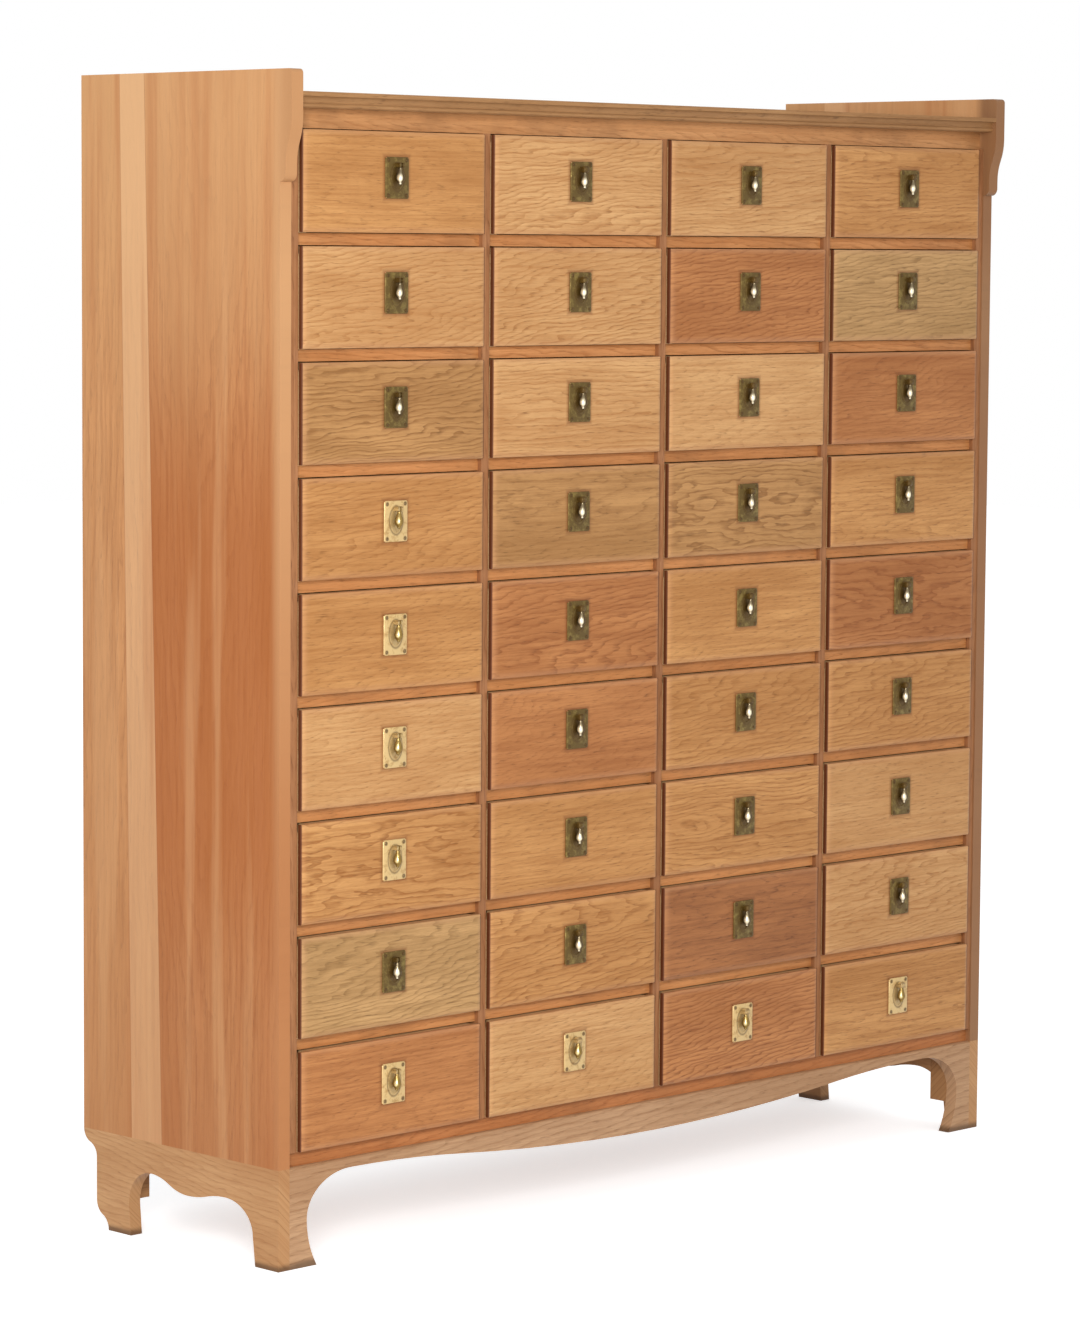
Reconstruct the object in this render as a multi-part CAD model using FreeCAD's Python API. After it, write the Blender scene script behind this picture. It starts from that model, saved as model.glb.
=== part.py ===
import FreeCAD, Part
import math
import os

from FreeCAD import Vector

os.makedirs("parts", exist_ok=True)

# A tall oak cabinet of small drawers on a bracket-foot plinth. Millimetres, +Z up.
# The front faces -Y. The origin is on the floor, under the middle of the overall box.

# Overall size
overall_width = 1462.0
overall_depth = 433.0
overall_height = 1600.0

# Drawer grid
columns = 4
rows = 9
pull_column = 1

# Carcass boards
side_thick = 20.0
upright_thick = 14.0
top_thick = 21.0
bottom_thick = 20.0
rail_thick = 16.0
rail_depth = 40.0
top_rail_height = 26.0
back_thick = 8.0
runner_width = 20.0

# How far the front faces stand behind the front plane of the sides
upright_setback = 2.0
rail_setback = 9.0

# Scroll brackets at the front of the sides, and the low gallery above the top board
bracket_reach = 23.0
bracket_corner_radius = 6.0
bracket_head_height = 62.0
bracket_ogee_height = 62.0
bracket_neck_reach = 11.0
bracket_neck_height = 12.0
gallery_rise = 29.0
back_below_sides = 11.0

# Moulded front edge of the top board
top_fillet_height = 6.0
top_quirk = 1.5
top_cove_depth = 8.0
top_cove_height = 9.0
top_bead_radius = 2.75

# Plinth and its bracket feet. A web is the height of wood left above a point of a board's lower edge.
plinth_height = 138.0
plinth_thick = 20.0
apron_round = 5.0
front_foot_waist = 31.0
front_foot_flare = 18.0
front_waist_height = 65.0
front_arch_width = 79.0
front_arch_web = 13.0
front_belly_web = 43.0
front_curve_share = 0.35
side_front_foot = 47.0
side_waist_height = 40.0
side_waist_in = 5.0
side_arch_width = 56.0
side_shoulder_web = 53.0
side_drop_web = 63.0
side_drop_from_front = 187.0
side_apex_web = 44.0
rear_foot_width = 48.0
rear_foot_splay = 4.0
rear_foot_waist = 45.0
rear_arch_width = 46.0
heel_height = 40.0
heel_reach = 26.0
skirting_step = 28.0
skirting_step_height = 100.0
back_rail_height = 40.0
corner_block = 32.0
corner_block_bottom = 44.0

# Drawers
front_thick = 20.0
front_proud = 6.0
front_band = 8.0
front_band_drop = 2.5
front_gap_side = 1.2
front_gap_bottom = 1.0
front_gap_top = 1.5
lap_thick = 8.0
drawer_side_thick = 12.0
drawer_side_height = 126.0
drawer_back_thick = 10.0
drawer_back_drop = 8.0
drawer_bottom_thick = 5.5
groove_height = 6.0
groove_depth = 6.0
groove_up = 10.0
panel_entry = 5.0
runner_gap = 0.3
drawer_rear_space = 8.0
side_overrun = 2.0

# Brass pulls
plate_width = 42.0
plate_height = 55.0
plate_thick = 2.0
plate_bevel = 0.8
plate_above_middle = 6.0
pivot_above_plate_middle = 17.0
pivot_out = 6.0
ear_width = 2.6
ear_radius = 3.0
ear_chamfer = 1.2
tongue_width = 3.2
tongue_gap = 0.15
tongue_thick = 5.0
pin_radius = 1.2
pin_gap = 0.06
drop_sides = 6
drop_neck_radius = 1.7
drop_shoulder_radius = 3.5
drop_bulb_radius = 5.8
drop_tip_radius = 2.2
drop_shoulder = 8.5
drop_bulb = 17.5
drop_length = 25.0
drop_start = 3.6

# Two points nearer than this are one point
same_place = 1e-6

# Places worked out from the sizes above
half_width = overall_width / 2
y_front = -overall_depth / 2 + bracket_reach
y_rear = overall_depth / 2
x_inside = half_width - side_thick
z_top = overall_height - gallery_rise
z_top_under = z_top - top_thick
z_floor_top = plinth_height + bottom_thick
z_grid_top = z_top_under - top_rail_height
opening_width = (2 * x_inside - (columns + 1) * upright_thick) / columns
opening_height = (z_grid_top - z_floor_top - (rows - 1) * rail_thick) / rows
column_pitch = opening_width + upright_thick
row_pitch = opening_height + rail_thick
y_back_panel = y_rear - back_thick
y_upright = y_front + upright_setback
y_rail = y_front + rail_setback
y_drawer = y_front - front_proud


def at(plane, along, shape):
    """Turn a solid drawn on X and Y, and extruded along Z, into the plane named, from the value along."""
    turned = {
        "XY": FreeCAD.Rotation(),
        "XZ": FreeCAD.Rotation(Vector(1, 0, 0), 90),
        "YZ": FreeCAD.Rotation(Vector(1, 1, 1), 120),
    }[plane]
    shift = {"XY": Vector(0, 0, along), "XZ": Vector(0, along, 0), "YZ": Vector(along, 0, 0)}[plane]
    shape.Placement = FreeCAD.Placement(shift, turned)
    return shape


class Outline:
    """A closed outline drawn edge by edge with a pen that remembers where it is and where it heads."""

    def __init__(self, a, b):
        self.start = Vector(a, b, 0)
        self.pen = self.start
        self.heading = None
        self.edges = []

    def head(self, a, b):
        self.heading = Vector(a, b, 0).normalize()
        return self

    def line(self, a, b):
        end = Vector(a, b, 0)
        self.edges.append(Part.LineSegment(self.pen, end).toShape())
        self.heading = (end - self.pen).normalize()
        self.pen = end
        return self

    def arc(self, a, b):
        """An arc that leaves along the heading and ends at the point."""
        end = Vector(a, b, 0)
        chord = end - self.pen
        normal = Vector(-self.heading.y, self.heading.x, 0)
        turn = math.atan2(chord.dot(normal), chord.dot(self.heading))
        half = chord.Length / (2 * math.cos(turn / 2))
        step = self.heading * math.cos(turn / 2) + normal * math.sin(turn / 2)
        self.edges.append(Part.Arc(self.pen, self.pen + step * half, end).toShape())
        self.heading = self.heading * math.cos(2 * turn) + normal * math.sin(2 * turn)
        self.pen = end
        return self

    def arc_into(self, a, b, *heading):
        """An arc that ends at the point along the heading given."""
        chord = (Vector(a, b, 0) - self.pen).normalize()
        arriving = Vector(*heading, 0).normalize()
        self.heading = chord * (2 * chord.dot(arriving)) - arriving
        return self.arc(a, b)

    def ogee(self, a, b, share=0.5):
        """Two arcs that leave and arrive along one heading. Share is the first arc's part of the way."""
        first = self.pen + (Vector(a, b, 0) - self.pen) * share
        self.arc(first.x, first.y)
        return self.arc(a, b)

    def quarter_ellipse(self, a, b, flat_first):
        """A quarter of an ellipse with its axes along the plane's own, leaving level if flat_first."""
        end = Vector(a, b, 0)
        centre = Vector(self.pen.x, b, 0) if flat_first else Vector(a, self.pen.y, 0)
        near = (self.pen - centre)
        far = (end - centre)
        long_arm, short_arm = (near, far) if near.Length >= far.Length else (far, near)
        middle = centre + (near + far) * math.sqrt(0.5)
        ellipse = Part.Ellipse(centre + long_arm, centre + short_arm, centre)
        begin, through, finish = (ellipse.parameter(p) for p in (self.pen, middle, end))
        forward = (through - begin) % (2 * math.pi) < (finish - begin) % (2 * math.pi)
        span = (begin, finish) if forward else (finish, begin)
        self.edges.append(Part.ArcOfEllipse(ellipse, *span).toShape())
        self.heading = near.normalize() * -1
        self.pen = end
        return self

    def solid(self, plane, low, high):
        """Close the outline and extrude it from low to high along the plane's normal."""
        if (self.start - self.pen).Length > same_place:
            self.line(self.start.x, self.start.y)
        face = Part.Face(Part.Wire(self.edges))
        length = high - low
        start = high if plane == "XZ" else low
        return at(plane, start, face.extrude(Vector(0, 0, length)))


def polygon(plane, points, low, high):
    """A straight-sided outline, extruded."""
    outline = Outline(*points[0])
    for point in points[1:]:
        outline.line(*point)
    return outline.solid(plane, low, high)


def box(x0, x1, y0, y1, z0, z1):
    return Part.makeBox(x1 - x0, y1 - y0, z1 - z0, Vector(x0, y0, z0))


def save(name, *solids):
    """One file for each sub-part, holding one or more separate solids."""
    shape = solids[0] if len(solids) == 1 else Part.makeCompound(list(solids))
    shape.exportStep(f"parts/{name}.step")
    volume = sum(solid.Volume for solid in solids) / 1000
    print(f"{name}: {len(solids)} solids, {volume:.0f} cm3, valid {shape.isValid()}")


def mirrored(shape):
    return shape.mirror(Vector(0, 0, 0), Vector(1, 0, 0))


def cell(row, column):
    """The lower left corner of one drawer opening; row 1 is at the top and column 1 on the left."""
    x = -x_inside + upright_thick + (column - 1) * column_pitch
    z = z_floor_top + (rows - row) * row_pitch
    return x, z


def side_board():
    """The left side, a plain upright board that ends above as the gallery."""
    return box(-half_width, -x_inside, y_front, y_rear, plinth_height, overall_height)


def scroll_bracket():
    """The block glued on the side's front edge, cut to an S-curve below its head."""
    y_head = y_front - bracket_reach
    y_neck = y_front - bracket_neck_reach
    z_head = overall_height - bracket_head_height
    z_neck = z_head - bracket_ogee_height
    z_heel = z_neck - bracket_neck_height
    outline = Outline(y_front, overall_height)
    outline.line(y_head + bracket_corner_radius, overall_height)
    outline.arc(y_head, overall_height - bracket_corner_radius)
    outline.line(y_head, z_head)
    outline.ogee(y_neck, z_neck)
    outline.line(y_neck, z_heel)
    outline.arc(y_front, z_heel - bracket_neck_reach)
    return outline.solid("YZ", -half_width, -x_inside)


def top_board():
    """The top, housed between the sides, with a fillet, a cove and a bead along its front edge."""
    y_face = y_front - bracket_reach
    y_cove = y_face + top_quirk
    y_bead = y_cove + top_cove_depth
    z_quirk = z_top - top_fillet_height
    z_bead = z_quirk - top_cove_height
    bead = 2 * top_bead_radius
    outline = Outline(y_back_panel, z_top)
    outline.line(y_face, z_top)
    outline.line(y_face, z_quirk)
    outline.line(y_cove, z_quirk)
    outline.quarter_ellipse(y_bead, z_bead, True)
    outline.head(-1, 0)
    outline.arc(y_bead, z_bead - bead)
    outline.line(y_bead, z_top_under)
    outline.line(y_back_panel, z_top_under)
    return outline.solid("YZ", -x_inside, x_inside)


def uprights():
    """The uprights between the columns, and the two that line the sides."""
    boards = []
    for number in range(columns + 1):
        x0 = -x_inside + number * column_pitch
        boards.append(box(x0, x0 + upright_thick, y_upright, y_back_panel, z_floor_top, z_grid_top))
    return boards[1:-1], [boards[0], boards[-1]]


def front_rails():
    """The rails between the rows, tight between the uprights."""
    rails = []
    for row in range(1, rows):
        for column in range(1, columns + 1):
            x, z = cell(row, column)
            rails.append(box(x, x + opening_width, y_rail, y_rail + rail_depth, z - rail_thick, z))
    return rails


def top_rails():
    """Two long rails that lie on the uprights and carry the top board, one in front and one behind."""
    places = (y_rail, y_back_panel - rail_depth)
    return [box(-x_inside, x_inside, y, y + rail_depth, z_grid_top, z_top_under) for y in places]


def drawer_runners():
    """A pair of runners behind each rail, one on each upright."""
    runners = []
    y0 = y_rail + rail_depth
    for row in range(1, rows):
        for column in range(1, columns + 1):
            x, z = cell(row, column)
            for x0 in (x, x + opening_width - runner_width):
                runners.append(box(x0, x0 + runner_width, y0, y_back_panel, z - rail_thick, z))
    return runners


def plinth_front():
    """The front apron: two feet, an arch beside each, a long belly curve between, and a rounded top edge."""
    x_waist = x_inside - front_foot_waist
    x_foot = x_waist - front_foot_flare
    x_apex = x_waist - front_arch_width
    z_arch = plinth_height - front_arch_web
    z_belly = plinth_height - front_belly_web
    outline = Outline(-x_inside, plinth_height)
    outline.line(-x_inside, 0)
    outline.line(-x_foot, 0)
    outline.arc_into(-x_waist, front_waist_height, 0, 1)
    outline.quarter_ellipse(-x_apex, z_arch, False)
    outline.head(1, 0)
    outline.ogee(0, z_belly, front_curve_share)
    outline.head(1, 0)
    outline.ogee(x_apex, z_arch, 1 - front_curve_share)
    outline.head(1, 0)
    outline.quarter_ellipse(x_waist, front_waist_height, True)
    outline.head(0, -1)
    outline.arc(x_foot, 0)
    outline.line(x_inside, 0)
    outline.line(x_inside, plinth_height)
    section = Outline(y_front, 0)
    section.line(y_front, plinth_height - apron_round)
    section.arc(y_front + apron_round, plinth_height)
    section.line(y_front + plinth_thick, plinth_height)
    section.line(y_front + plinth_thick, 0)
    board = outline.solid("XZ", y_front, y_front + plinth_thick)
    return board.common(section.solid("YZ", -x_inside, x_inside)).Solids[0]


def plinth_side():
    """The left plinth board: front foot, shaped apron, rear foot, and a step back for a skirting board."""
    y_foot = y_front + side_front_foot
    y_waist = y_foot + side_waist_in
    y_shoulder = y_waist + side_arch_width
    y_drop = y_front + side_drop_from_front
    y_back_foot = y_rear - skirting_step
    y_heel = y_back_foot - heel_reach
    y_rear_inner = y_heel - rear_foot_width
    y_rear_waist = y_rear_inner + rear_foot_splay
    y_apex = y_rear_waist - rear_arch_width
    z_shoulder = plinth_height - side_shoulder_web
    z_drop = plinth_height - side_drop_web
    z_apex = plinth_height - side_apex_web
    outline = Outline(y_front, plinth_height)
    outline.line(y_front, 0)
    outline.line(y_foot, 0)
    outline.line(y_waist, side_waist_height)
    outline.quarter_ellipse(y_shoulder, z_shoulder, False)
    outline.head(1, 0)
    outline.ogee(y_drop, z_drop)
    outline.head(1, 0)
    outline.ogee(y_apex, z_apex)
    outline.quarter_ellipse(y_rear_waist, rear_foot_waist, True)
    outline.line(y_rear_inner, 0)
    outline.line(y_heel, 0)
    outline.head(0, 1)
    outline.ogee(y_back_foot, heel_height)
    outline.line(y_back_foot, skirting_step_height)
    outline.ogee(y_rear, plinth_height)
    return outline.solid("YZ", -half_width, -x_inside)


def plinth_back():
    """A plain rail between the side boards, set in front of the skirting step."""
    y1 = y_rear - skirting_step
    z0 = plinth_height - back_rail_height
    return box(-x_inside, x_inside, y1 - plinth_thick, y1, z0, plinth_height)


def corner_blocks():
    """Glue blocks that stiffen the four corners of the plinth."""
    y_first = y_front + plinth_thick
    y_last = y_rear - skirting_step - plinth_thick
    blocks = []
    for y0 in (y_first, y_last - corner_block):
        x1 = -x_inside + corner_block
        left = box(-x_inside, x1, y0, y0 + corner_block, corner_block_bottom, plinth_height)
        blocks += [left, mirrored(left)]
    return blocks


def drawer_front(x, z):
    """A board with a low thumb moulding round its face, rebated ends and a groove for the bottom."""
    x0, x1 = x + front_gap_side, x + opening_width - front_gap_side
    z0, z1 = z + front_gap_bottom, z + opening_height - front_gap_top
    y0, y1 = y_drawer, y_drawer + front_thick
    y_lap = y0 + lap_thick
    y_band = y0 + front_band_drop
    plan = Outline(x0, y_band)
    plan.arc_into(x0 + front_band, y0, 1, 0)
    plan.line(x1 - front_band, y0)
    plan.arc(x1, y_band)
    plan.line(x1, y_lap)
    plan.line(x1 - drawer_side_thick, y_lap)
    plan.line(x1 - drawer_side_thick, y1)
    plan.line(x0 + drawer_side_thick, y1)
    plan.line(x0 + drawer_side_thick, y_lap)
    plan.line(x0, y_lap)
    z_groove = z + runner_gap + groove_up
    section = Outline(y1, z0)
    section.line(y1, z_groove)
    section.line(y1 - groove_depth, z_groove)
    section.line(y1 - groove_depth, z_groove + groove_height)
    section.line(y1, z_groove + groove_height)
    section.line(y1, z1)
    section.line(y_band, z1)
    section.arc_into(y0, z1 - front_band, 0, -1)
    section.line(y0, z0 + front_band)
    section.arc(y_band, z0)
    return plan.solid("XY", z0, z1).common(section.solid("YZ", x0, x1)).Solids[0]


def drawer_sides(x, z):
    """Two sides, grooved inside for the bottom, that ride on the runners."""
    x0 = x + front_gap_side
    x1 = x0 + drawer_side_thick
    inner = x1 - groove_depth
    z0 = z + runner_gap
    z1 = z0 + drawer_side_height
    z_groove = z0 + groove_up
    y0 = y_drawer + lap_thick
    y1 = y_back_panel - drawer_rear_space
    points = [(x0, z0), (x1, z0), (x1, z_groove), (inner, z_groove), (inner, z_groove + groove_height)]
    points += [(x1, z_groove + groove_height), (x1, z1), (x0, z1)]
    other = [(2 * x + opening_width - a, b) for a, b in points]
    return [polygon("XZ", points, y0, y1), polygon("XZ", other[::-1], y0, y1)]


def drawer_back(x, z):
    x0 = x + front_gap_side + drawer_side_thick
    x1 = x + opening_width - front_gap_side - drawer_side_thick
    y1 = y_back_panel - drawer_rear_space - side_overrun
    z0 = z + runner_gap + groove_up + drawer_bottom_thick
    z1 = z + runner_gap + drawer_side_height - drawer_back_drop
    return box(x0, x1, y1 - drawer_back_thick, y1, z0, z1)


def drawer_bottom(x, z):
    inset = front_gap_side + drawer_side_thick - panel_entry
    y0 = y_drawer + front_thick - panel_entry
    y1 = y_back_panel - drawer_rear_space - side_overrun
    z0 = z + runner_gap + groove_up
    return box(x + inset, x + opening_width - inset, y0, y1, z0, z0 + drawer_bottom_thick)


def flat_sided(rings):
    """A solid with flat faces between rings of points, closed at the first and last ring."""
    faces = [Part.Face(Part.makePolygon([*ring, ring[0]])) for ring in (rings[0], rings[-1])]
    for ring, other in zip(rings, rings[1:]):
        for number, point in enumerate(ring):
            follower = (number + 1) % len(ring)
            patch = [point, ring[follower], other[follower], other[number], point]
            faces.append(Part.Face(Part.makePolygon(patch)))
    return Part.Solid(Part.Shell(faces))


def back_plate(x, z):
    """The upright brass plate, bevelled round its face."""
    x_mid, z_mid = plate_middle(x, z)
    rings = []
    for out, inset in ((0, 0), (plate_thick - plate_bevel, 0), (plate_thick, plate_bevel)):
        half = plate_width / 2 - inset
        tall = plate_height / 2 - inset
        steps = ((-half, -tall), (half, -tall), (half, tall), (-half, tall))
        rings.append([Vector(x_mid + a, y_drawer - out, z_mid + b) for a, b in steps])
    return flat_sided(rings)


def plate_middle(x, z):
    z_front = z + (front_gap_bottom + opening_height - front_gap_top) / 2
    return x + opening_width / 2, z_front + plate_above_middle


def pivot(x, z):
    """The point that the drop swings about."""
    x_mid, z_mid = plate_middle(x, z)
    return Vector(x_mid, y_drawer - plate_thick - pivot_out, z_mid + pivot_above_plate_middle)


def drop_body(x, z):
    """The hanging drop below its knuckle, a faceted teardrop."""
    middle = pivot(x, z)
    steps = (
        (drop_start, drop_neck_radius),
        (drop_shoulder, drop_shoulder_radius),
        (drop_bulb, drop_bulb_radius),
        (drop_length, drop_tip_radius),
    )
    rings = []
    for down, radius in steps:
        ring = []
        for side in range(drop_sides):
            angle = 2 * math.pi * side / drop_sides
            ring.append(middle + Vector(radius * math.cos(angle), radius * math.sin(angle), -down))
        rings.append(ring)
    return flat_sided(rings)


def fixed_pull(x, z):
    """Plate, knuckle and drop of a pull that hangs still."""
    middle = pivot(x, z)
    half = tongue_width / 2 + tongue_gap + ear_width
    knuckle = box(
        middle.x - half,
        middle.x + half,
        middle.y - ear_radius,
        y_drawer - plate_thick,
        middle.z - drop_start,
        middle.z + ear_radius,
    )
    return [back_plate(x, z), knuckle, drop_body(x, z)]


def pull_plate(x, z):
    """Plate with two ears, and the pin that the swinging drop hangs on."""
    middle = pivot(x, z)
    slot = tongue_width / 2 + tongue_gap
    reach = slot + ear_width
    y_plate = y_drawer - plate_thick
    pin = Part.makeCylinder(pin_radius, 2 * slot, middle - Vector(slot, 0, 0), Vector(1, 0, 0))
    solids = [back_plate(x, z), pin]
    y_nose = middle.y - ear_radius
    y_chamfer = middle.y - ear_chamfer
    profile = [(y_plate, middle.z - ear_radius), (y_plate, middle.z + ear_radius)]
    profile += [(y_chamfer, middle.z + ear_radius), (y_nose, middle.z + ear_chamfer)]
    profile += [(y_nose, middle.z - ear_chamfer), (y_chamfer, middle.z - ear_radius)]
    for x0 in (middle.x - reach, middle.x + slot):
        solids.append(polygon("YZ", profile, x0, x0 + ear_width))
    return solids


def swinging_drop(x, z):
    """The drop of a pull that swings: a bored tongue between the ears, running into the teardrop."""
    middle = pivot(x, z)
    half = tongue_width / 2
    reach = tongue_thick / 2
    profile = [(middle.y - reach, middle.z - drop_start), (middle.y + reach, middle.z - drop_start)]
    profile += [(middle.y + reach, middle.z + ear_chamfer), (middle.y + ear_chamfer, middle.z + reach)]
    profile += [(middle.y - ear_chamfer, middle.z + reach), (middle.y - reach, middle.z + ear_chamfer)]
    tongue = polygon("YZ", profile, middle.x - half, middle.x + half)
    start = middle - Vector(half, 0, 0)
    bore = Part.makeCylinder(pin_radius + pin_gap, tongue_width, start, Vector(1, 0, 0))
    return tongue.cut(bore).fuse(drop_body(x, z)).removeSplitter().Solids[0]


def build_drawers():
    for row in range(1, rows + 1):
        for column in range(1, columns + 1):
            x, z = cell(row, column)
            wood = [drawer_front(x, z), *drawer_sides(x, z), drawer_back(x, z), drawer_bottom(x, z)]
            swings = column == pull_column
            brass = pull_plate(x, z) if swings else fixed_pull(x, z)
            save(f"drawer_r{row}_c{column}", *wood, *brass)
            if swings:
                save(f"pull_r{row}_c{column}", swinging_drop(x, z))


def build_carcass():
    left = [side_board(), scroll_bracket()]
    save("side_left", *left)
    save("side_right", *[mirrored(board) for board in left])
    save("top_board", top_board())
    y_bottom = y_rail
    save("bottom_board", box(-x_inside, x_inside, y_bottom, y_back_panel, plinth_height, z_floor_top))
    inner, ends = uprights()
    save("inner_uprights", *inner)
    save("end_uprights", *ends)
    save("front_rails", *front_rails())
    save("top_rails", *top_rails())
    save("drawer_runners", *drawer_runners())
    z_back = overall_height - back_below_sides
    save("back_panel", box(-x_inside, x_inside, y_back_panel, y_rear, plinth_height, z_back))


def build_plinth():
    left = plinth_side()
    save("plinth_front", plinth_front())
    save("plinth_left", left)
    save("plinth_right", mirrored(left))
    save("plinth_back", plinth_back())
    save("corner_blocks", *corner_blocks())


build_carcass()
build_plinth()
build_drawers()
print(f"opening {opening_width:.1f} x {opening_height:.1f}, pitch {column_pitch:.1f} x {row_pitch:.1f}")
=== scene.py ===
# %% [markdown]
# # An oak cabinet of small drawers, dressed for its portrait
# The solid model of the cabinet already exists: every board, runner and drawer is a node of the frame.
# This lesson gives those boards real oak, builds the brass plates and drops that catch the eye,
# and sets up a quiet studio. Nothing in the frame is moved, so each drawer still slides as it should.

import math
import random

import bmesh
import bpy
from mathutils import Matrix, Vector


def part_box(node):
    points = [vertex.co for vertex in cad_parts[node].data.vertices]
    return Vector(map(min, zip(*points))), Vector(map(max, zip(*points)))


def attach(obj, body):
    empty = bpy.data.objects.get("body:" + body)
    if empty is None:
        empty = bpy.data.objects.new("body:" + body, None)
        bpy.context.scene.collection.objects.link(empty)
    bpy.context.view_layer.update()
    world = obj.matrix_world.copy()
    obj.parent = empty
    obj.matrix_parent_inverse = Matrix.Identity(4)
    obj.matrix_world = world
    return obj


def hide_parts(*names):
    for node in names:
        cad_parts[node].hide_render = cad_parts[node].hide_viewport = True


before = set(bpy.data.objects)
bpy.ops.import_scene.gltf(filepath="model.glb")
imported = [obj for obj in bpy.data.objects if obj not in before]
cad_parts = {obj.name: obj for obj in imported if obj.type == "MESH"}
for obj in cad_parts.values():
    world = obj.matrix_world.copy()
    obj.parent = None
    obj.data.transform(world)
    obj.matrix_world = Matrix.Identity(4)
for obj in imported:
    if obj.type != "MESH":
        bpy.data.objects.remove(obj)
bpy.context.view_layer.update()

# %% [markdown]
# ## Where everything is
# All sizes are in metres. The cabinet faces -Y and stands on the floor at Z = 0.
# The drawers form a grid, so one function can tell where any drawer front is. Reading the box of a
# node from the frame is safer than typing numbers again, because the two can't drift apart.

# %% The grid of drawers
ROWS = range(1, 10)
COLUMNS = range(1, 5)
MM = 0.001
BRACKET_REACH = 23 * MM
FRONT_PROUD = 6 * MM
FRONT_HEIGHT = 135 * MM
PLATE_HEIGHT = 74.2 * MM

side_low, side_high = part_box("side_left")
first_low, first_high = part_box("drawer_r1_c1")
second_low, second_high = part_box("drawer_r2_c2")
pitch_x = second_low.x - first_low.x
pitch_z = first_low.z - second_low.z
lowest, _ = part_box("drawer_r9_c1")
grid_left = lowest.x
grid_bottom = lowest.z
front_width = first_high.x - first_low.x
side_front = side_low.y + BRACKET_REACH
face_y = side_front - FRONT_PROUD
print(f"pitch {pitch_x:.4f} by {pitch_z:.4f}, drawer faces at y = {face_y:.4f}")


def front_of(row, column):
    """Lower left corner of a drawer's face."""
    return Vector((grid_left + (column - 1) * pitch_x, face_y, grid_bottom + (9 - row) * pitch_z))


def plate_centre(row, column):
    """Middle of the brass plate, which is a little above the middle of the face."""
    return front_of(row, column) + Vector((front_width / 2, 0, PLATE_HEIGHT))


# %% [markdown]
# ## The camera
# A photograph fixes its camera: the directions of the cabinet's edges say where the lens stood and how
# long it was. This one is a long lens, far away, at head height on the corner between the left side and
# the front. A long lens keeps the rows of drawers nearly parallel, which a short one wouldn't.

# %% Place the camera
IMAGE_HEIGHT = 1325
FOCAL_PIXELS = 4464.7
CAMERA_PLACE = (-4.6378, -4.5980, 1.3711)
SENSOR = 36.0
YAW, PITCH, ROLL = math.radians(44.93), math.radians(-5.327), math.radians(0.398)

forward = Vector((math.sin(YAW) * math.cos(PITCH), math.cos(YAW) * math.cos(PITCH), math.sin(PITCH)))
level_right = Vector((math.cos(YAW), -math.sin(YAW), 0))
level_up = level_right.cross(forward)
right = math.cos(ROLL) * level_right + math.sin(ROLL) * level_up
up = right.cross(forward)

camera_data = bpy.data.cameras.new("camera")
camera_data.sensor_fit = "VERTICAL"
camera_data.sensor_height = SENSOR
camera_data.lens = FOCAL_PIXELS / IMAGE_HEIGHT * SENSOR
camera_data.clip_end = 60
camera = bpy.data.objects.new("camera", camera_data)
bpy.context.collection.objects.link(camera)
turn = Matrix((right, up, -forward)).transposed().to_4x4()
camera.matrix_world = Matrix.Translation(CAMERA_PLACE) @ turn
bpy.context.scene.camera = camera
print(f"lens {camera_data.lens:.1f} mm")

# %% [markdown]
# ## Materials as sums
# A material is a graph of nodes, and a graph built by hand soon turns into a page of links.
# The two small classes below let us write it as sums instead. A `Wire` stands for one output, and adding,
# multiplying or subtracting wires adds Math nodes. A `Recipe` is one material, and its `node` method makes
# any other node: first its settings, then what goes into its sockets.


# %% Wires and recipes
class Wire:
    """A socket that can be used in sums."""

    def __init__(self, recipe, socket):
        self.recipe = recipe
        self.socket = socket

    def __add__(self, other):
        return self.recipe.maths("ADD", self, other)

    def __radd__(self, other):
        return self.recipe.maths("ADD", other, self)

    def __sub__(self, other):
        return self.recipe.maths("SUBTRACT", self, other)

    def __rsub__(self, other):
        return self.recipe.maths("SUBTRACT", other, self)

    def __mul__(self, other):
        return self.recipe.maths("MULTIPLY", self, other)

    def __rmul__(self, other):
        return self.recipe.maths("MULTIPLY", other, self)

    def __pow__(self, other):
        return self.recipe.maths("POWER", self, other)

    def __gt__(self, other):
        return self.recipe.maths("GREATER_THAN", self, other)


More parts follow.
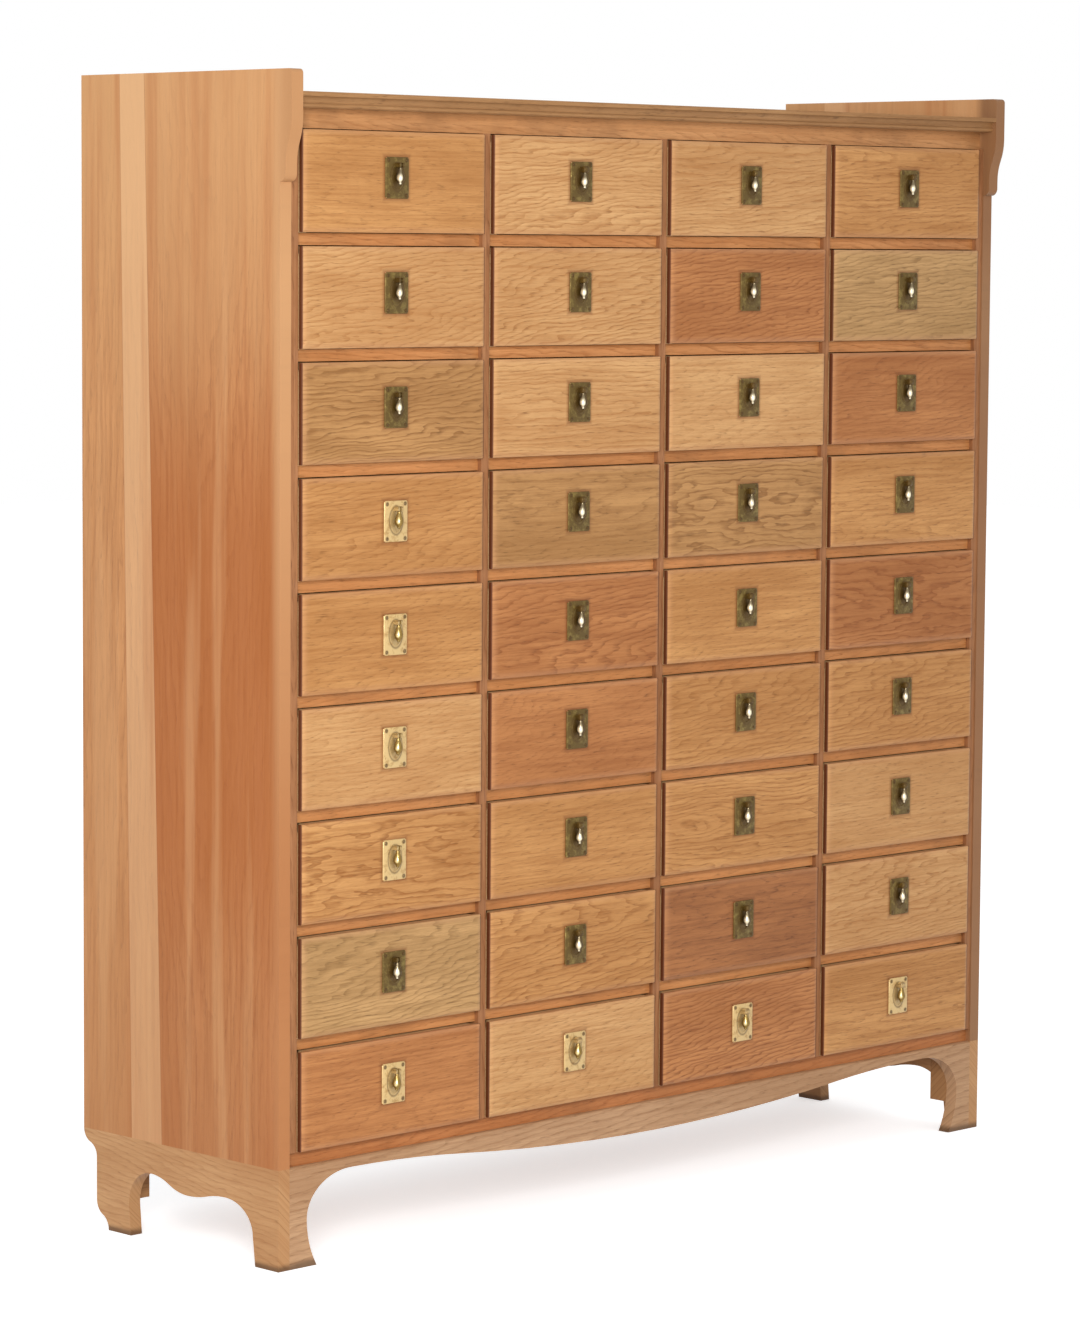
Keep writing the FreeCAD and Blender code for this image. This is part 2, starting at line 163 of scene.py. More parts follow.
class Recipe:
    """One material and its node tree."""

    def __init__(self, name):
        self.material = bpy.data.materials.new(name)
        self.material.use_nodes = True
        self.tree = self.material.node_tree
        self.tree.nodes.clear()

    def node(self, kind, settings=None, inputs=None, output=0):
        made = self.tree.nodes.new(kind)
        for name, value in (settings or {}).items():
            setattr(made, name, value)
        for name, value in (inputs or {}).items():
            if isinstance(value, Wire):
                self.tree.links.new(value.socket, made.inputs[name])
            else:
                made.inputs[name].default_value = value
        return None if output is None else Wire(self, made.outputs[output])

    def maths(self, operation, first, second=0.0):
        return self.node("ShaderNodeMath", {"operation": operation}, {0: first, 1: second})

    def size_of(self, value):
        return self.maths("ABSOLUTE", value)

    def whole(self, value, step):
        """How many whole steps fit into the value."""
        return self.maths("FLOOR", value * (1 / step))

    def place(self):
        """The point on the object, in metres, in the frame's own axes."""
        return self.node("ShaderNodeTexCoord", output="Object")

    def split(self, vector):
        made = self.node("ShaderNodeSeparateXYZ", {}, {0: vector}).socket.node
        return [Wire(self, made.outputs[n]) for n in range(3)]

    def join(self, x, y, z):
        return self.node("ShaderNodeCombineXYZ", {}, {0: x, 1: y, 2: z})

    def between(self, value, low, high, to_low=0.0, to_high=1.0):
        """Value mapped from low..high to other limits, smoothly and clamped."""
        limits = {0: value, 1: low, 2: high, 3: to_low, 4: to_high}
        return self.node("ShaderNodeMapRange", {"interpolation_type": "SMOOTHSTEP"}, limits)

    def blend(self, factor, first, second):
        """Two colours mixed by a factor."""
        settings = {"data_type": "RGBA", "clamp_factor": True}
        return self.node("ShaderNodeMix", settings, {0: factor, 6: first, 7: second}, 2)

    def noise(self, vector, scale, detail=2.0, roughness=0.5):
        inputs = {"Vector": vector, "Scale": scale, "Detail": detail, "Roughness": roughness}
        return self.node("ShaderNodeTexNoise", {"noise_dimensions": "3D"}, inputs)

    def stretch(self, vector, x, y, z):
        return self.node("ShaderNodeVectorMath", {"operation": "MULTIPLY"}, {0: vector, 1: (x, y, z)})

    def bump(self, height, distance, strength=1.0):
        inputs = {"Height": height, "Distance": distance, "Strength": strength}
        return self.node("ShaderNodeBump", {}, inputs)

    def finish(self, **sockets):
        """The surface itself. Underscores in the names stand for spaces."""
        named = {name.replace("_", " "): value for name, value in sockets.items()}
        surface = self.node("ShaderNodeBsdfPrincipled", {}, named)
        self.node("ShaderNodeOutputMaterial", {}, {"Surface": surface}, None)
        return self.material


print("wires and recipes are ready")

# %% [markdown]
# ## What oak looks like
# Oak has yearly rings, and each ring starts with a row of open pores. A flat-sawn board cuts the rings at a
# slant, so its face shows long arches; a board cut towards the heart shows nearly straight lines.
# One formula gives both. Take the distance of a point from the heart of the tree, add a little for the
# taper of the trunk, let noise make it waver, and colour by where in its ring the point lies.
# Every board gets its own heart, and so its own figure, from a number that belongs to that board.

# %% Colours in words


def tone(red, green, blue):
    """A colour as one reads it off a picture, turned into light."""
    def light(value):
        part = value / 255
        return part / 12.92 if part <= 0.04045 else ((part + 0.055) / 1.055) ** 2.4

    return (light(red), light(green), light(blue), 1.0)


print("a honey oak is", [round(part, 3) for part in tone(206, 152, 106)[:3]])

# %% One function for every board


def oak(recipe, along, across, board, pale, dark, ring=0.0065, contrast=1.0, figure=1.0):
    """Colour and height of oak. Along runs with the grain, across runs over the face."""
    lot = recipe.node("ShaderNodeTexWhiteNoise", {"noise_dimensions": "3D"}, {"Vector": board}, "Color")
    first, second, third = recipe.split(lot)
    grain = recipe.join(along + first * 9.0, across + second * 7.0, third * 5.0)
    waver = recipe.noise(recipe.stretch(grain, 3.8, 15.0, 1.0), 1.0, 4.0, 0.6) - 0.5
    heart = (first - 0.5) * 0.26
    depth = second * second * 0.11 + 0.012
    span = (across - heart) ** 2.0 + depth ** 2.0
    radius = span ** 0.5 + along * ((first - 0.5) * 0.34) + waver * 0.055
    place = recipe.maths("FRACT", radius * (1 / ring))
    fine = recipe.maths("FRACT", radius * (3.3 / ring) + second)
    early = recipe.between(place, 0.0, 0.55, 1.0, 0.0) * recipe.between(place, 0.0, 0.08)
    broad = recipe.noise(recipe.stretch(grain, 1.7, 9.0, 1.0), 1.0, 4.0, 0.6)
    streak = recipe.noise(recipe.stretch(grain, 6.0, 210.0, 1.0), 1.0, 4.0, 0.66)
    pores = recipe.noise(recipe.stretch(grain, 70.0, 820.0, 1.0), 1.0, 2.0)
    pores = recipe.between(pores, 0.50, 0.72) * (early * 0.7 + 0.3)
    cloud = recipe.noise(recipe.stretch(grain, 11.0, 34.0, 1.0), 1.0, 3.0, 0.55)
    bold = (third * 0.62 + 0.16) * figure
    shade = (early * bold + recipe.between(streak, 0.40, 0.66) * 0.46 + (1 - fine) * 0.07) * contrast
    colour = recipe.blend(recipe.between(broad, 0.3, 0.72) * 0.55, pale, dark)
    colour = recipe.blend(recipe.between(cloud, 0.36, 0.68) * 0.22, colour, dark)
    colour = recipe.blend(shade, colour, dark)
    deep = tuple(part * 0.45 for part in dark[:3]) + (1.0,)
    colour = recipe.blend(pores * 0.65 * contrast, colour, deep)
    height = 1 - pores * 0.8 - early * 0.25
    return colour, height, broad


print("oak is ready to use on any board")

# %% [markdown]
# ## The drawers
# The fronts were cut from many planks over a long time, so their colours differ. Six named oaks cover them.
# Most drawers draw one of the common oaks by chance, and the few that catch the eye are named. The seed is
# fixed so that the result never changes. It is simply the number of drawers: any number would do as well.
# Inside the cabinet the same node holds the drawer's sides and bottom, which never saw wax. The shader
# finds them by their place behind the front, and gives them a paler wood whose grain runs to the back.

# %% Oaks for the drawers
OAK_SHINE = 0.27
GRAIN_DEPTH = 0.25 * MM
PLATE_WIDE, PLATE_TALL = 42 * MM, 55 * MM
OAKS = {
    "honey": (tone(211, 166, 114), tone(168, 116, 66)),
    "amber": (tone(204, 152, 95), tone(154, 100, 50)),
    "russet": (tone(193, 133, 81), tone(142, 84, 42)),
    "tawny": (tone(190, 144, 92), tone(142, 98, 53)),
    "straw": (tone(199, 158, 107), tone(148, 112, 68)),
    "walnut": (tone(174, 115, 68), tone(118, 69, 36)),
}
COMMON = ["honey", "honey", "amber", "amber", "russet", "tawny"]
STANDING_OUT = {
    (2, 4): "straw",
    (3, 4): "russet",
    (8, 1): "straw",
    (8, 3): "walnut",
    (9, 1): "russet",
}


def drawer_oak(name, pale, dark):
    recipe = Recipe(f"oak_drawer_{name}")
    x, y, z = recipe.split(recipe.place())
    # The small shares of a gap keep a front's own rim from counting to its neighbour.
    column = recipe.whole(x - grid_left + 6 * MM, pitch_x)
    row = recipe.whole(z - grid_bottom + 4 * MM, pitch_z)
    local_x = x - grid_left - column * pitch_x
    local_z = z - grid_bottom - row * pitch_z
    to_right = front_width - local_x
    to_top = FRONT_HEIGHT - local_z
    board = recipe.join(column + 3.0, row + 5.0, 1.0)
    face, height, broad = oak(recipe, x, local_z - FRONT_HEIGHT / 2, board, pale, dark)
    # Hands and wax leave the rim of each front a little pinker and paler, and the foot of it dusty; the rim
    # is also a painted highlight, widest on the left, where the softened edges catch the light.
    rim_x = recipe.between(local_x, 0.0, 16 * MM, 1.0, 0.0) + recipe.between(to_right, 0.0, 10 * MM, 1.0, 0.0)
    rim_z = recipe.between(local_z, 0.0, 12 * MM, 1.0, 0.0) + recipe.between(to_top, 0.0, 8 * MM, 1.0, 0.0)
    rim = recipe.maths("MINIMUM", rim_x * 0.7 + rim_z * 0.8, 1.0)
    rim = rim * recipe.between(broad, 0.25, 0.6, 0.45, 1.0)
    face = recipe.blend(rim * 0.38, face, tone(206, 156, 116))
    # A dark halo of old polish lies round the plate, where no cloth reaches.
    off_x = recipe.size_of(local_x - front_width / 2) - PLATE_WIDE / 2
    off_z = recipe.size_of(local_z - PLATE_HEIGHT) - PLATE_TALL / 2
    near = recipe.maths("MAXIMUM", off_x, off_z)
    face = recipe.blend(recipe.between(near, 0.0, 7 * MM, 0.5, 0.0), face, tone(112, 66, 34))
    # The proud edges of the front are darker. Its left and right ends are end grain, which drinks far more
    # stain than long grain, and all its proud edges also carry painted shade.
    end_grain_and_shade = recipe.between(y, face_y + 1.8 * MM, face_y + 2.8 * MM, 0.0, 0.30)
    face = recipe.blend(end_grain_and_shade, face, tone(118, 66, 34))
    # A near-black line of painted shade runs down the left and right ends of the face, for the gaps beside
    # it.
    at_left = recipe.between(local_x, 0.8 * MM, 2.4 * MM, 0.95, 0.0)
    at_right = recipe.between(to_right, 0.8 * MM, 2.4 * MM, 0.95, 0.0)
    face = recipe.blend(at_left + at_right, face, tone(84, 38, 14))
    box_board = recipe.join(column, row, 2.0)
    box, _, _ = oak(
        recipe, y, local_z + x, box_board, tone(203, 170, 126), tone(166, 126, 84), contrast=0.7
    )
    behind = y > (face_y + 7.5 * MM)
    colour = recipe.blend(behind, face, box)
    normal = recipe.bump(height, GRAIN_DEPTH, 0.5)
    roughness = recipe.between(broad, 0.2, 0.8, 0.40, 0.56)
    material = recipe.finish(
        Base_Color=colour, Roughness=roughness, Normal=normal, Specular_IOR_Level=OAK_SHINE
    )
    material.diffuse_color = pale
    return material


drawer_materials = {name: drawer_oak(name, *colours) for name, colours in OAKS.items()}
chance = random.Random(len(ROWS) * len(COLUMNS))
for row in ROWS:
    for column in COLUMNS:
        name = STANDING_OUT.get((row, column)) or chance.choice(COMMON)
        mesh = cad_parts[f"drawer_r{row}_c{column}"].data
        mesh.materials.clear()
        mesh.materials.append(drawer_materials[name])
print("drawers dressed in", len(drawer_materials), "oaks")

# %% [markdown]
# ## The sides
# Each side is glued up from three boards with upright grain. The middle one is a narrow pale strip, cut
# a little out of true, so its joints lean. A board's number is how many joints lie in front of the point,
# which is a sum of two comparisons, and each number gives its own figure and tone.

# %% Oak for the sides
FRONT_JOINT, REAR_JOINT = 44.5 * MM, 110 * MM
LEAN = 0.024
GLUE_LINE = 1.2 * MM


def sides_oak():
    recipe = Recipe("oak_sides_upright")
    x, y, z = recipe.split(recipe.place())
    lean = z * LEAN
    front_joint = (y - lean) > FRONT_JOINT
    rear_joint = (y - lean * 0.65) > REAR_JOINT
    number = front_joint + rear_joint
    side = recipe.maths("SIGN", x)
    board = recipe.join(number + 11.0, side, 4.0)
    colour, height, broad = oak(
        recipe, z, y, board, tone(196, 136, 86), tone(144, 82, 38), 12 * MM, 1.0, 0.45
    )
    # The sun has bleached the head of the side to gold, and the foot is redder than the middle.
    head = recipe.between(z + (broad - 0.5) * 0.5, 0.85, 1.65, 0.0, 0.72)
    colour = recipe.blend(head, colour, tone(206, 158, 110))
    foot = recipe.between(z + (broad - 0.5) * 0.3, 0.1, 0.75, 0.55, 0.0)
    colour = recipe.blend(foot, colour, tone(166, 108, 64))
    waist = recipe.between(z, 0.30, 0.60) * recipe.between(z, 0.95, 1.30, 1.0, 0.0) * (1 - front_joint)
    colour = recipe.blend(waist * 0.72, colour, tone(162, 92, 40))
    strip = (front_joint - rear_joint) * recipe.between(z, 0.2, 0.9, 0.75, 1.0)
    colour = recipe.blend(strip * 0.50, colour, tone(226, 184, 140))
    colour = recipe.blend(rear_joint * 0.22, colour, tone(206, 160, 110))
    # Broad streaks run the whole height, some redder than the rest and some paler.
    streaks = recipe.noise(recipe.join(z * 0.9, y * 21.0 + number * 3.0, side * 2.0), 1.0, 3.0, 0.55)
    colour = recipe.blend(recipe.between(streaks, 0.50, 0.68) * 0.42, colour, tone(170, 104, 58))
    colour = recipe.blend(recipe.between(streaks, 0.32, 0.48, 0.30, 0.0), colour, tone(214, 168, 122))
    # Glue lines are hair thin and dark.
    to_front_line = recipe.size_of(y - lean - FRONT_JOINT)
    to_rear_line = recipe.size_of(y - lean * 0.65 - REAR_JOINT)
    front_line = recipe.between(to_front_line, 0.0, GLUE_LINE, 0.35, 0.0)
    rear_line = recipe.between(to_rear_line, 0.0, GLUE_LINE, 0.35, 0.0)
    colour = recipe.blend(front_line + rear_line, colour, tone(140, 86, 48))
    # The front edge is greyer, and paler above than below. On the right it is brown and darker towards the
    # top: painted shade, for the right side's front lies in shade.
    edge = recipe.between(y, side_front, side_front + 21.5 * MM, 1.0, 0.0)
    upper = recipe.between(z, 0.35, 1.15)
    by_height = recipe.blend(upper, tone(176, 118, 74), tone(198, 152, 108))
    shaded = recipe.blend(recipe.between(z, 1.25, 1.45), tone(134, 102, 74), tone(112, 76, 50))
    on_right = x > 0.0
    colour = recipe.blend(edge * 0.7, colour, recipe.blend(on_right, by_height, shaded))
    # The left bracket has darkened under many hands.
    bracket = recipe.between(y, side_low.y, side_low.y + 41.5 * MM, 1.0, 0.0)
    bracket = bracket * recipe.between(z, 1.3, 1.46) * (1 - on_right)
    colour = recipe.blend(bracket * 0.36, colour, tone(146, 92, 48))
    normal = recipe.bump(height, GRAIN_DEPTH, 0.5)
    roughness = recipe.between(broad, 0.2, 0.8, 0.42, 0.58)
    return recipe.finish(
        Base_Color=colour, Roughness=roughness, Normal=normal, Specular_IOR_Level=OAK_SHINE
    )


side_wood = sides_oak()
print("sides glued up from boards that meet", FRONT_JOINT, "and", REAR_JOINT, "m behind the middle")


# %% [markdown]
# ## The carcass
# The fixed boards are all oak of the same kind, but the grain follows each board: up the uprights, along
# the rails and back along the runners. Their materials share one function. What differs is the direction
# of the grain, the two tones, how much grime lies on the board, and how much darker its foot is.

# %% Oak for the carcass, the top and the plinth


def plain_oak(name, along, across, pale, dark, ring=9 * MM, contrast=0.9, grime=0.0, dark_foot=0.0):
    """Along and across are the letters of the axes that the grain follows and crosses."""
    recipe = Recipe(name)
    axes = dict(zip("xyz", recipe.split(recipe.place())))
    block = recipe.whole(axes["x"], pitch_x)
    level = recipe.whole(axes["z"], pitch_z)
    number = {
        "x": recipe.join(level, 1.0, 7.0),
        "y": recipe.join(block, level, 8.0),
        "z": recipe.join(block, 2.0, 9.0),
    }
    run = axes[across[0]] + axes[across[1]]
    colour, height, broad = oak(recipe, axes[along], run, number[along], pale, dark, ring, contrast)
    dust = recipe.noise(recipe.place(), 9.0, 4.0, 0.6)
    colour = recipe.blend(recipe.between(dust, 0.45, 0.75) * grime, colour, tone(96, 60, 34))
    if dark_foot:
        # Within about a centimetre of the floor the board is darker.
        by_height = recipe.between(axes["z"] + (dust - 0.5) * 12 * MM, 3 * MM, 12 * MM, dark_foot, 0.0)
        colour = recipe.blend(by_height, colour, tone(62, 40, 24))
    normal = recipe.bump(height, GRAIN_DEPTH, 0.5)
    roughness = recipe.between(broad, 0.2, 0.8, 0.42, 0.60)
    return recipe.finish(
        Base_Color=colour, Roughness=roughness, Normal=normal, Specular_IOR_Level=OAK_SHINE
    )


OAK_FOR = {
    ("side_left", "side_right"): side_wood,
    ("inner_uprights", "end_uprights"): plain_oak(
        "oak_uprights", "z", "xy", tone(176, 124, 84), tone(138, 88, 52), grime=0.3
    ),
    ("top_rails",): plain_oak(
        "oak_top_rails", "x", "zy", tone(216, 162, 109), tone(174, 119, 71), grime=0.3
    ),
    ("front_rails",): plain_oak(
        "oak_rails", "x", "zy", tone(216, 154, 98), tone(174, 112, 60), grime=0.26
    ),
    ("bottom_board",): plain_oak(
        "oak_bottom_board", "x", "zy", tone(204, 138, 86), tone(162, 98, 52), grime=0.3
    ),
    ("drawer_runners",): plain_oak(
        "oak_runners", "y", "xz", tone(186, 148, 104), tone(150, 110, 70), grime=0.4
    ),
    ("top_board",): plain_oak(
        "oak_top_board", "x", "yz", tone(178, 136, 92), tone(134, 93, 54), 10 * MM
    ),
    ("plinth_front",): plain_oak(
        "oak_plinth_front", "x", "zy", tone(198, 160, 124), tone(155, 115, 81), 12 * MM, dark_foot=0.7
    ),
    ("plinth_left", "plinth_right"): plain_oak(
        "oak_plinth_sides", "y", "zx", tone(197, 154, 109), tone(161, 112, 70), contrast=0.62, dark_foot=0.7
    ),
    ("plinth_back", "corner_blocks"): plain_oak(
        "oak_blocks", "x", "zy", tone(176, 132, 88), tone(136, 94, 58)
    ),
    ("back_panel",): plain_oak(
        "oak_back_boards", "z", "xy", tone(104, 70, 44), tone(66, 42, 26), grime=0.5
    ),
}
for nodes, material in OAK_FOR.items():
    for node in nodes:
        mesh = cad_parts[node].data
        mesh.materials.clear()
        mesh.materials.append(material)
print("carcass dressed in", len(OAK_FOR), "more oaks")

# %% [markdown]
# ## Brass
# The plates were once polished. Most have gone a dark olive, with the shine left only where fingers rub;
# a few in the first column and the bottom row have been cleaned. One recipe covers both: a tarnish noise
# decides how much of the dark film is left, and the film is rougher than the metal. The drops have a
# recipe of their own: fingers have polished them, and the polished side is also a painted highlight.

# %% Four states of brass
NAIL_X, NAIL_Z = 16.5, 23.5
PITTING = 0.4 * MM


def above_plate(recipe, z):
    """How high a point lies above the middle of its own plate."""
    return z - grid_bottom - recipe.whole(z - grid_bottom, pitch_z) * pitch_z - PLATE_HEIGHT


def brass(name, clean, film, amount, metal, dark_oval):
    """Brass whose film of tarnish grows with the amount. The oval behind the drop is darker: tarnish, and the
    painted shadow of the drop.
    """
    recipe = Recipe(name)
    point = recipe.place()
    x, y, z = recipe.split(point)
    local_x = x - grid_left - recipe.whole(x - grid_left, pitch_x) * pitch_x - front_width / 2
    local_z = above_plate(recipe, z)
    wide = recipe.size_of(local_x)
    tall = recipe.size_of(local_z)
    cloud = recipe.noise(point, 95.0, 4.0, 0.62)
    spots = recipe.noise(point, 420.0, 2.0)
    tarnish = recipe.between(cloud + (spots - 0.5) * 0.3, 0.62 - amount, 0.80 - amount * 0.7)
    colour = recipe.blend(tarnish, clean, film)
    # Dirt stays round the nails and in the groove beside the oval bead.
    to_nail = ((wide - NAIL_X * MM) ** 2.0 + (tall - NAIL_Z * MM) ** 2.0) ** 0.5
    oval = ((local_x * (1 / (12.5 * MM))) ** 2.0 + ((local_z - 1 * MM) * (1 / (19 * MM))) ** 2.0) ** 0.5
    groove = recipe.between(recipe.size_of(oval - 1.0), 0.0, 0.16, 1.0, 0.0)
    dirt_and_shadow = recipe.maths("MAXIMUM", recipe.between(to_nail, 1.8 * MM, 4 * MM, 1.0, 0.0), groove * 0.75)
    # Inside the oval the plate is darker still: tarnish, and the painted shadow of the drop that hangs before
    # it.
    oval_tarnish_and_shadow = recipe.between(oval + (spots - 0.5) * 0.4, 0.6, 1.25, dark_oval, 0.0)
    dirt_and_shadow = recipe.maths("MAXIMUM", dirt_and_shadow, oval_tarnish_and_shadow)
    colour = recipe.blend(dirt_and_shadow * 0.85, colour, tone(80, 55, 14))
    roughness = tarnish * 0.20 + 0.32
    normal = recipe.bump(cloud + spots * 0.4, PITTING, 0.35)
    return recipe.finish(Base_Color=colour, Metallic=metal, Roughness=roughness, Normal=normal)


def polished_and_highlit_brass(name, dark, pale, first, last):
    """Fingers polish the side of a drop that they meet, and leave the rest of it dark. That side, on the
    bulb's left front, is also a painted highlight.
    """
    recipe = Recipe(name)
    facing = recipe.node("ShaderNodeTexCoord", output="Normal")
    across, toward, upward = recipe.split(facing)
    # The painted highlight faces left and forward, towards the key lamp, and stays on the bulb.
    rubbed_and_lit_side = across * -0.84 + toward * -0.54 + upward * 0.05
    cloud = recipe.noise(recipe.place(), 160.0, 3.0, 0.6) - 0.5
    _, _, z = recipe.split(recipe.place())
    on_bulb = recipe.between(above_plate(recipe, z), 1 * MM, 7 * MM, 1.0, 0.15)
    polish_and_highlight = recipe.between(rubbed_and_lit_side + cloud * 0.12, first, last) * on_bulb
    colour = recipe.blend(polish_and_highlight, dark, pale)
    normal = recipe.bump(cloud, 0.0003, 0.3)
    return recipe.finish(Base_Color=colour, Metallic=0.75, Roughness=0.30, Normal=normal)


brass_dark = brass("brass_tarnished", tone(130, 110, 54), tone(96, 75, 30), 0.36, 0.5, 0.9)
brass_bright = brass("brass_cleaned", tone(210, 180, 124), tone(182, 146, 92), 0.14, 0.30, 0.46)
drop_dark = polished_and_highlit_brass("brass_polished_highlit", tone(84, 66, 32), tone(230, 220, 192), 0.60, 0.88)
drop_bright = polished_and_highlit_brass("brass_polished_highlit_often", tone(138, 112, 56), tone(220, 202, 148), 0.82, 0.98)
print("brass in", 4, "states")

# %% [markdown]
# ## The pulls
# A pull is a plate held by four domed nails, two ears with a pin between them, and a turned drop.
# The drop is a solid of revolution, so it is spun from a profile: a list of how far down and how wide.
# The plate could be a scaled cube, but a real one has a soft bevel, and it is this bevel that glints.
# Each piece is drawn in place and slightly fuller than the plain solid inside it, which it hides.

# %% Helpers that add metal to a mesh


def skin(mesh, rings):
    """Faces between rings of as many points each, and a lid on both ends."""
    sides = len(rings[0])
    for ring, after in zip(rings, rings[1:]):
        for number in range(sides):
            follower = (number + 1) % sides
            mesh.faces.new((ring[number], ring[follower], after[follower], after[number]))
    mesh.faces.new(rings[0][::-1])
    mesh.faces.new(rings[-1])


def spun(mesh, start, profile, down=Vector((0, 0, -1)), sides=20):
    """A turned shape: the profile is a list of (distance from the start, radius)."""
    first = down.orthogonal().normalized()
    second = down.cross(first)
    rings = []
    for distance, radius in profile:
        ring = []
        for number in range(sides):
            angle = 2 * math.pi * number / sides
            arm = first * math.cos(angle) + second * math.sin(angle)
            ring.append(mesh.verts.new(start + (down * distance + arm * radius) * MM))
        rings.append(ring)
    skin(mesh, rings)


def slab(mesh, centre, width, height, layers, clip=1.6):
    """A plate that faces -Y, with clipped corners: the layers are (how far out, how much narrower)."""
    rings = []
    for out, inset in layers:
        half, tall = width / 2 - inset, height / 2 - inset
        corners = [(-half, -tall + clip), (-half + clip, -tall), (half - clip, -tall), (half, -tall + clip)]
        corners += [(half, tall - clip), (half - clip, tall), (-half + clip, tall), (-half, tall - clip)]
        rings.append([mesh.verts.new(centre + Vector((a, -out, b)) * MM) for a, b in corners])
    skin(mesh, rings)


def box_between(mesh, centre, width, depth, height):
    """A small block, for the stems that join ears to plate."""
    made = bmesh.ops.create_cube(mesh, size=1.0)["verts"]
    bmesh.ops.scale(mesh, vec=Vector((width, depth, height)) * MM, verts=made)
    bmesh.ops.translate(mesh, vec=centre, verts=made)


def piece(name, mesh, material, body, smooth=40):
    """Turn a mesh into a piece that rides on a body."""
    bmesh.ops.recalc_face_normals(mesh, faces=mesh.faces)
    data = bpy.data.meshes.new(name)
    mesh.to_mesh(data)
    mesh.free()
    made = bpy.data.objects.new(name, data)
    bpy.context.collection.objects.link(made)
    data.materials.append(material)
    data.shade_smooth()
    data.set_sharp_from_angle(angle=math.radians(smooth))
    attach(made, body)
    return made


DROP = [(2.6, 1.6), (3.4, 2.0), (4.4, 2.6), (5.4, 2.5), (7.0, 3.1), (8.5, 3.7)]
DROP += [(11.2, 4.5), (14.0, 5.3), (16.0, 5.85), (17.5, 6.0), (19.0, 5.9), (20.6, 5.3)]
DROP += [(22.0, 4.4), (23.4, 3.4), (24.5, 2.7), (25.3, 2.5), (26.0, 2.1), (26.5, 1.2)]
print("drop profile has", len(DROP), "rings")

# %% Build the thirty-six pulls
BRIGHT = {(4, 1), (5, 1), (6, 1), (7, 1), (9, 1), (9, 2), (9, 3), (9, 4)}
SWINGING_COLUMN = 1
ACROSS = Vector((1, 0, 0))
PIVOT = Vector((0, -8.0, 17.0)) * MM
EYE = [(0, 2.2), (0.3, 2.6), (2.7, 2.6), (3.0, 2.2)]
EAR = [(0, 3.0), (0.3, 3.35), (2.5, 3.35), (2.82, 3.0)]
KNUCKLE = [(0, 3.6), (0.5, 4.3), (1.2, 4.75), (8.4, 4.75), (9.1, 4.3), (9.6, 3.6)]
NAIL = [(-0.5, 1.9), (0.0, 1.9), (0.5, 1.6), (0.9, 0.9), (1.0, 0.4)]


def oval_bead(mesh, centre, wide, tall, size, steps=32):
    """A raised oval line on a plate, half round in section."""
    rings = []
    for number in range(steps):
        angle = 2 * math.pi * number / steps
        ring = []
        for out, over in ((-0.3, -1.0), (0.45, -0.7), (0.7, 0.0), (0.45, 0.7), (-0.3, 1.0)):
            a = (wide + over * size) * math.cos(angle)
            b = (tall + over * size) * math.sin(angle)
            ring.append(mesh.verts.new(centre + Vector((a, -out * size, b)) * MM))
        rings.append(ring)
    for ring, after in zip(rings, rings[1:] + rings[:1]):
        for number in range(4):
            mesh.faces.new((ring[number], ring[number + 1], after[number + 1], after[number]))


def plate_and_ears(mesh, centre, pivot, swings):
    """A bevelled plate with nails and bead, and two ears, or one knuckle where the drop hangs still."""
    slab(mesh, centre, 42.5, 55.5, [(0, 0.3), (0.3, 0), (1.3, 0), (1.9, 0.45), (2.2, 1.2)])
    for a in (-NAIL_X, NAIL_X):
        for b in (-NAIL_Z, NAIL_Z):
            spun(mesh, centre + Vector((a, -2.1, b)) * MM, NAIL, Vector((0, -1, 0)), 12)
    oval_bead(mesh, centre + Vector((0, -2.2, 2)) * MM, 11.0, 17.0, 1.0)
    if swings:
        for start in (-4.5, 1.68):
            spun(mesh, pivot + ACROSS * start * MM, EAR, ACROSS, 20)
            box_between(mesh, pivot + Vector((start + 1.41, 1.4, 0)) * MM, 2.8, 9.2, 6.2)
        spun(mesh, pivot - ACROSS * 1.9 * MM, [(0, 1.2), (3.8, 1.2)], ACROSS, 14)
    else:
        spun(mesh, pivot - ACROSS * 4.8 * MM, KNUCKLE, ACROSS, 24)
        box_between(mesh, pivot + Vector((0, 1.4, -0.3)) * MM, 9.3, 9.2, 6.9)


for row in ROWS:
    for column in COLUMNS:
        centre = plate_centre(row, column)
        pivot = centre + PIVOT
        body = f"drawer_r{row}_c{column}"
        bright = (row, column) in BRIGHT
        swings = column == SWINGING_COLUMN
        plate = bmesh.new()
        plate_and_ears(plate, centre, pivot, swings)
        piece(f"plate_r{row}_c{column}", plate, brass_bright if bright else brass_dark, body)
        drop = bmesh.new()
        spun(drop, pivot, DROP, sides=24)
        if swings:
            spun(drop, pivot - ACROSS * 1.5 * MM, EYE, ACROSS, 20)
            body = f"pull_r{row}_c{column}"
        made = piece(f"drop_r{row}_c{column}", drop, drop_bright if bright else drop_dark, body)
        if swings:
            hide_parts(f"pull_r{row}_c{column}")
print("pulls built:", len(ROWS) * len(COLUMNS))

# %% [markdown]
# ## The studio
# The cabinet stands on a pale floor in front of nothing at all. A large soft lamp on the left lights the
# side more than the front, which is what gives the cabinet its shape, and the pale world fills the shade.
# The camera, and whatever mirrors the world, sees it as plain white through the Light Path node, without any
# more light being added.

# %% Floor, world and lamps
SEEN_BY = ("Is Camera Ray", "Is Glossy Ray", "Is Transmission Ray")
FLOOR_HALF = 14.0
FLOOR_GAP = 0.5 * MM
WORLD_FILL = 0.62


